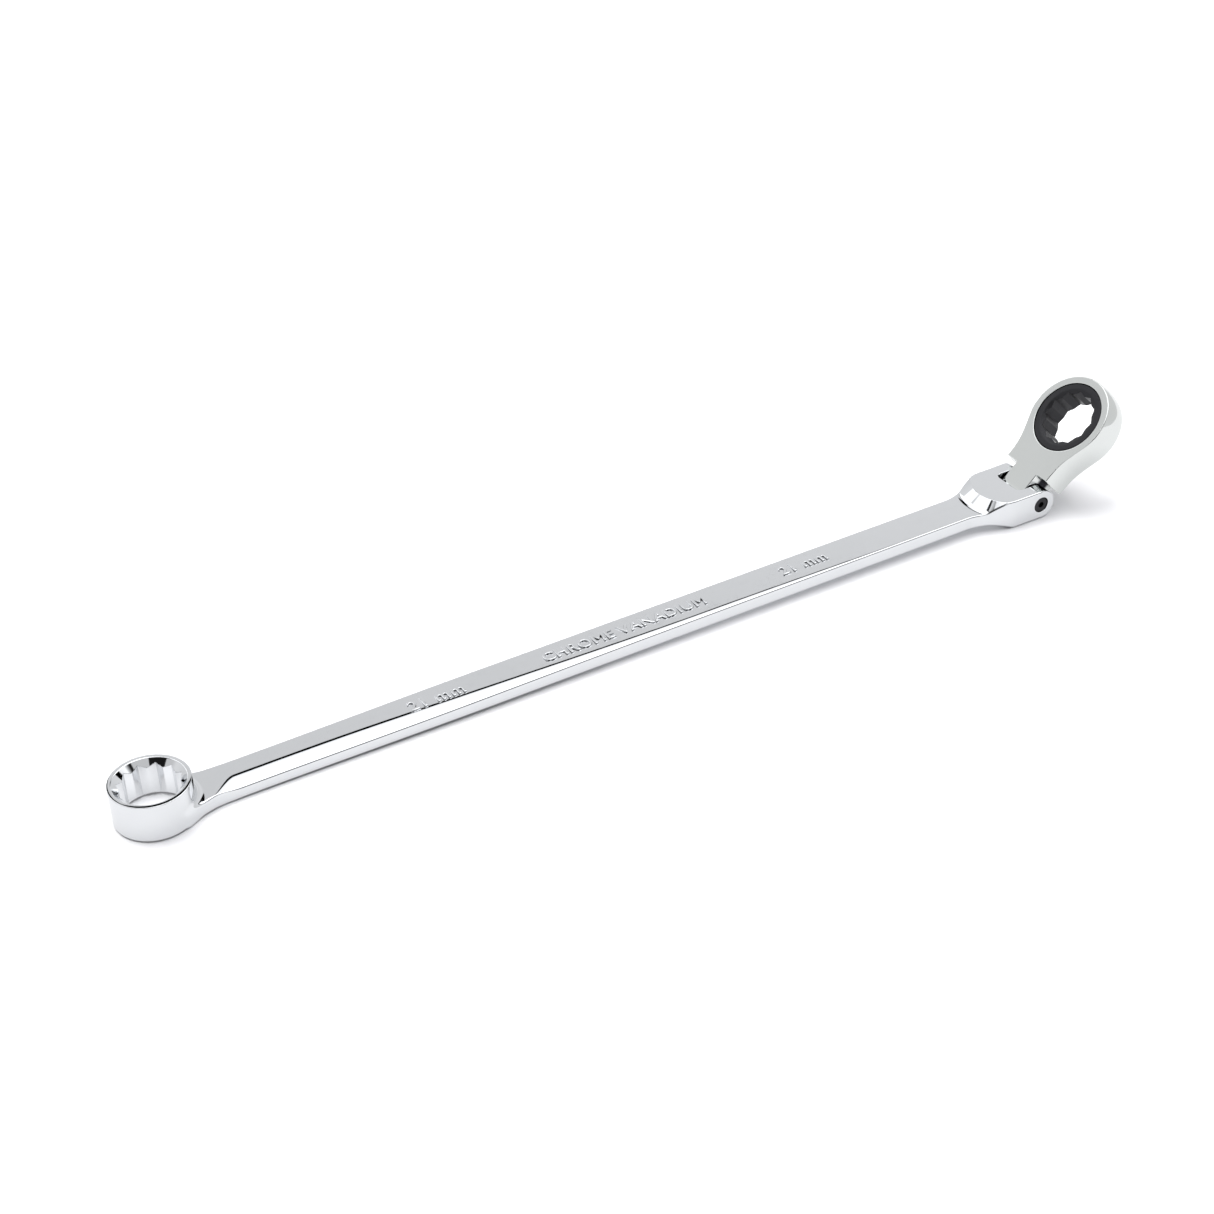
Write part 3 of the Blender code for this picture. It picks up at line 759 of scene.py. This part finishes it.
def add_floor():
    """A plain pale floor under the ring's heel and the fork."""
    slope = -HANDLE_LOW.z / (PIN.x - FORK_HEEL * MM)
    middle = PIN.x / 2
    mesh = bpy.data.meshes.new("floor")
    square = [(a * FLOOR_HALF, b * FLOOR_HALF) for a, b in ((-1, -1), (1, -1), (1, 1), (-1, 1))]
    corners = [(middle + x, y, -slope * (middle + x) - FLOOR_GAP) for x, y in square]
    mesh.from_pydata(corners, [], [(0, 1, 2, 3)])
    floor = bpy.data.objects.new("floor", mesh)
    bpy.context.scene.collection.objects.link(floor)
    lower_under_head(floor)
    mat = bpy.data.materials.new("floor_paper")
    mat.use_nodes = True
    shader = mat.node_tree.nodes["Principled BSDF"]
    nodes = Nodes(mat.node_tree)
    place = nodes.add("ShaderNodeTexCoord").outputs["Object"]
    paper = nodes.blend(nodes.noise(900.0, 3.0, place), (0.325, 0.325, 0.33, 1), (0.335, 0.335, 0.34, 1))
    seen = nodes.add("ShaderNodeLightPath").outputs["Is Camera Ray"]
    nodes.feed(shader.inputs["Base Color"], nodes.blend(seen, paper, (0.92, 0.92, 0.94, 1)))
    shader.inputs["Emission Color"].default_value = (0.98, 0.985, 1.0, 1)
    nodes.feed(shader.inputs["Emission Strength"], nodes.blend(seen, 0.52, 0.0))
    shader.inputs["Roughness"].default_value = 0.9
    shader.inputs["Specular IOR Level"].default_value = 0.0
    paint(floor, mat)


def lower_under_head(floor):
    """Drops the floor when the head is swung below the handle, so that the head never passes through it.
    lift is the sine of the head's angle above level."""
    driver = floor.driver_add("location", 2).driver
    for name in ("w", "y"):
        turned = driver.variables.new()
        turned.name = name
        turned.type = "TRANSFORMS"
        turned.targets[0].id = frame["bodies"]["head"]
        turned.targets[0].transform_type = "ROT_" + name.upper()
        turned.targets[0].rotation_mode = "QUATERNION"
        turned.targets[0].transform_space = "WORLD_SPACE"
    lift = f"({ALONG.z:.4f} * (1 - 2 * y * y) - {2 * ALONG.x:.4f} * w * y)"
    clear = (PIN_Z + FORK_HEIGHT) * MM
    reach = (HEAD_REACH + HEAD_R) * MM
    underside = f"{HEAD_HALF_T * MM:.4f} * sqrt(max(0, 1 - {lift} * {lift}))"
    driver.expression = f"min(0, {clear:.4f} + {reach:.4f} * {lift} - {underside})"


def behind_wrench(nodes, x, y, height, slanted, ceiling):
    """The far half of the room: a pale backdrop, a dark gap above it and the ceiling, with a bright window
    to the left."""
    low = nodes.blend(nodes.step(height, 0.1, 0.45), BACKDROP_LOW, BACKDROP_MIDDLE)
    backdrop = nodes.blend(nodes.step(height, 0.48, 0.65), low, BACKDROP_HIGH)
    behind = nodes.blend(nodes.step(slanted, *GAP_BOTTOM), backdrop, ceiling)
    wall = nodes.blend(nodes.step(height, 0.66, 0.70), nodes.step(x, -0.42, -0.40), 1.0)
    window = nodes.product(wall, nodes.step(height, 0.44, 0.46))
    edge = nodes.product(window, nodes.step(x, 0.115, 0.11), nodes.step(slanted, 0.76, 0.70))
    pane = nodes.product(window, nodes.step(x, 0.085, 0.075))
    bar = nodes.span(y, (0.135, 0.19), 0.005)
    bar = nodes.product(bar, nodes.step(height, 0.70, 0.72), nodes.step(x, 0.0, -0.05))
    for share, brightness in ((edge, 0.0), (pane, PANE), (bar, 0.0)):
        behind = nodes.blend(share, behind, brightness)
    return behind


def before_wrench(nodes, x, y, height, ceiling):
    """The near half of the room: pale, with black cards that draw dark lines along the near edges."""
    front = nodes.blend(nodes.step(height, 0.10, 0.45), FRONT_LOW, FRONT_HIGH)
    for heights, widths, least_y in CARDS:
        card = nodes.product(nodes.span(height, heights, 0.01), nodes.span(x, widths, 0.02))
        card = nodes.product(card, nodes.step(y, least_y - 0.005, least_y))
        front = nodes.blend(card, front, FRONT_DARK)
    return nodes.blend(nodes.step(height, 0.82, 0.90), front, ceiling)


def add_room():
    """What the chrome mirrors. The camera itself sees plain white."""
    world = bpy.data.worlds.new("room")
    bpy.context.scene.world = world
    world.use_nodes = True
    nodes = Nodes(world.node_tree)
    look = nodes.add("ShaderNodeTexCoord").outputs["Generated"]
    split = nodes.add("ShaderNodeSeparateXYZ")
    nodes.links.new(look, split.inputs[0])
    x, y, height = split.outputs
    level = camera_direction()[1]
    ahead = nodes.math("ADD", nodes.product(x, level.x), nodes.product(y, level.y))
    slanted = nodes.math("MULTIPLY_ADD", x, SLANT, height)
    ceiling = nodes.blend(nodes.step(slanted, 0.79, 0.95), CEILING_NEAR, CEILING_FAR)
    ceiling = nodes.product(ceiling, nodes.step(slanted, *GAP_TOP))
    behind = behind_wrench(nodes, x, y, height, slanted, ceiling)
    front = before_wrench(nodes, x, y, height, ceiling)

    mirrored = world.node_tree.nodes["Background"]
    mirrored.inputs["Color"].default_value = (0.985, 0.99, 1.0, 1)
    nodes.feed(mirrored.inputs["Strength"], nodes.blend(nodes.step(ahead, -0.25, 0.0), front, behind))
    plain = nodes.add("ShaderNodeBackground")
    plain.inputs["Color"].default_value = (1, 1, 1, 1)
    plain.inputs["Strength"].default_value = 1.1
    mix = nodes.add("ShaderNodeMixShader")
    nodes.links.new(nodes.add("ShaderNodeLightPath").outputs["Is Camera Ray"], mix.inputs[0])
    nodes.links.new(mirrored.outputs[0], mix.inputs[1])
    nodes.links.new(plain.outputs[0], mix.inputs[2])
    nodes.links.new(mix.outputs[0], world.node_tree.nodes["World Output"].inputs["Surface"])


def hidden_light(name, kind, energy):
    """A light that the chrome doesn't mirror."""
    lamp = bpy.data.objects.new(name, bpy.data.lights.new(name, kind))
    bpy.context.scene.collection.objects.link(lamp)
    lamp.data.energy = energy
    lamp.visible_glossy = False
    return lamp


def add_lights():
    """Soft light from above and behind, and a small lamp that fills the shadow inside the fixed ring."""
    sun = hidden_light("soft_top", "SUN", 2.4)
    sun.data.angle = math.radians(50)
    sun.data.color = (1.0, 0.99, 0.97)
    sun.rotation_mode = "QUATERNION"
    sun.rotation_quaternion = Vector((0.15, -0.45, -1.0)).to_track_quat("-Z", "Y")

    fill = hidden_light("ring_fill", "AREA", 0.0012)
    fill.data.shape = "DISK"
    fill.data.size = 18 * MM
    fill.location = RING_AXIS + Vector((0, 0, RING_H - 3.0)) * MM
    fill.visible_camera = False


def main():
    chrome = metal("handle_chrome", (0.80, 0.81, 0.83), (0.77, 0.785, 0.80), (0.035, 0.07))
    # The head chrome gets painted shade on the walls beside the tongue
    satin = metal("head_chrome", (0.77, 0.79, 0.78), (0.74, 0.76, 0.745), (0.06, 0.12), recess=True)
    black = metal(
        "black_phosphate",
        (0.036, 0.036, 0.039),
        (0.022, 0.022, 0.026),
        (0.28, 0.45),
        metallic=0.75,
        wave=(900.0, 1e-5),
        grain=(7000.0, 4e-6),
    )
    spring = metal("spring_steel", (0.45, 0.45, 0.46), (0.36, 0.36, 0.37), (0.25, 0.4))
    pawl_steel = metal("pawl_steel", (0.25, 0.25, 0.26), (0.2, 0.2, 0.21), (0.3, 0.45))

    paint(make_handle(), chrome)
    paint(make_head(), satin)
    paint(make_gear(), black)
    for mark in MARKS:
        paint(raised_mark(*mark), chrome)

    nodes = frame["nodes"]
    paint(nodes["hinge_screw"], black)
    paint(nodes["pawl"], pawl_steel)
    paint(nodes["pawl_spring"], spring)
    paint(nodes["snap_ring"], spring)
    paint(nodes["friction_washer_near"], black)
    paint(nodes["friction_washer_far"], black)

    add_camera()
    add_floor()
    add_room()
    add_lights()
    bpy.context.scene.view_settings.view_transform = "Standard"


main()
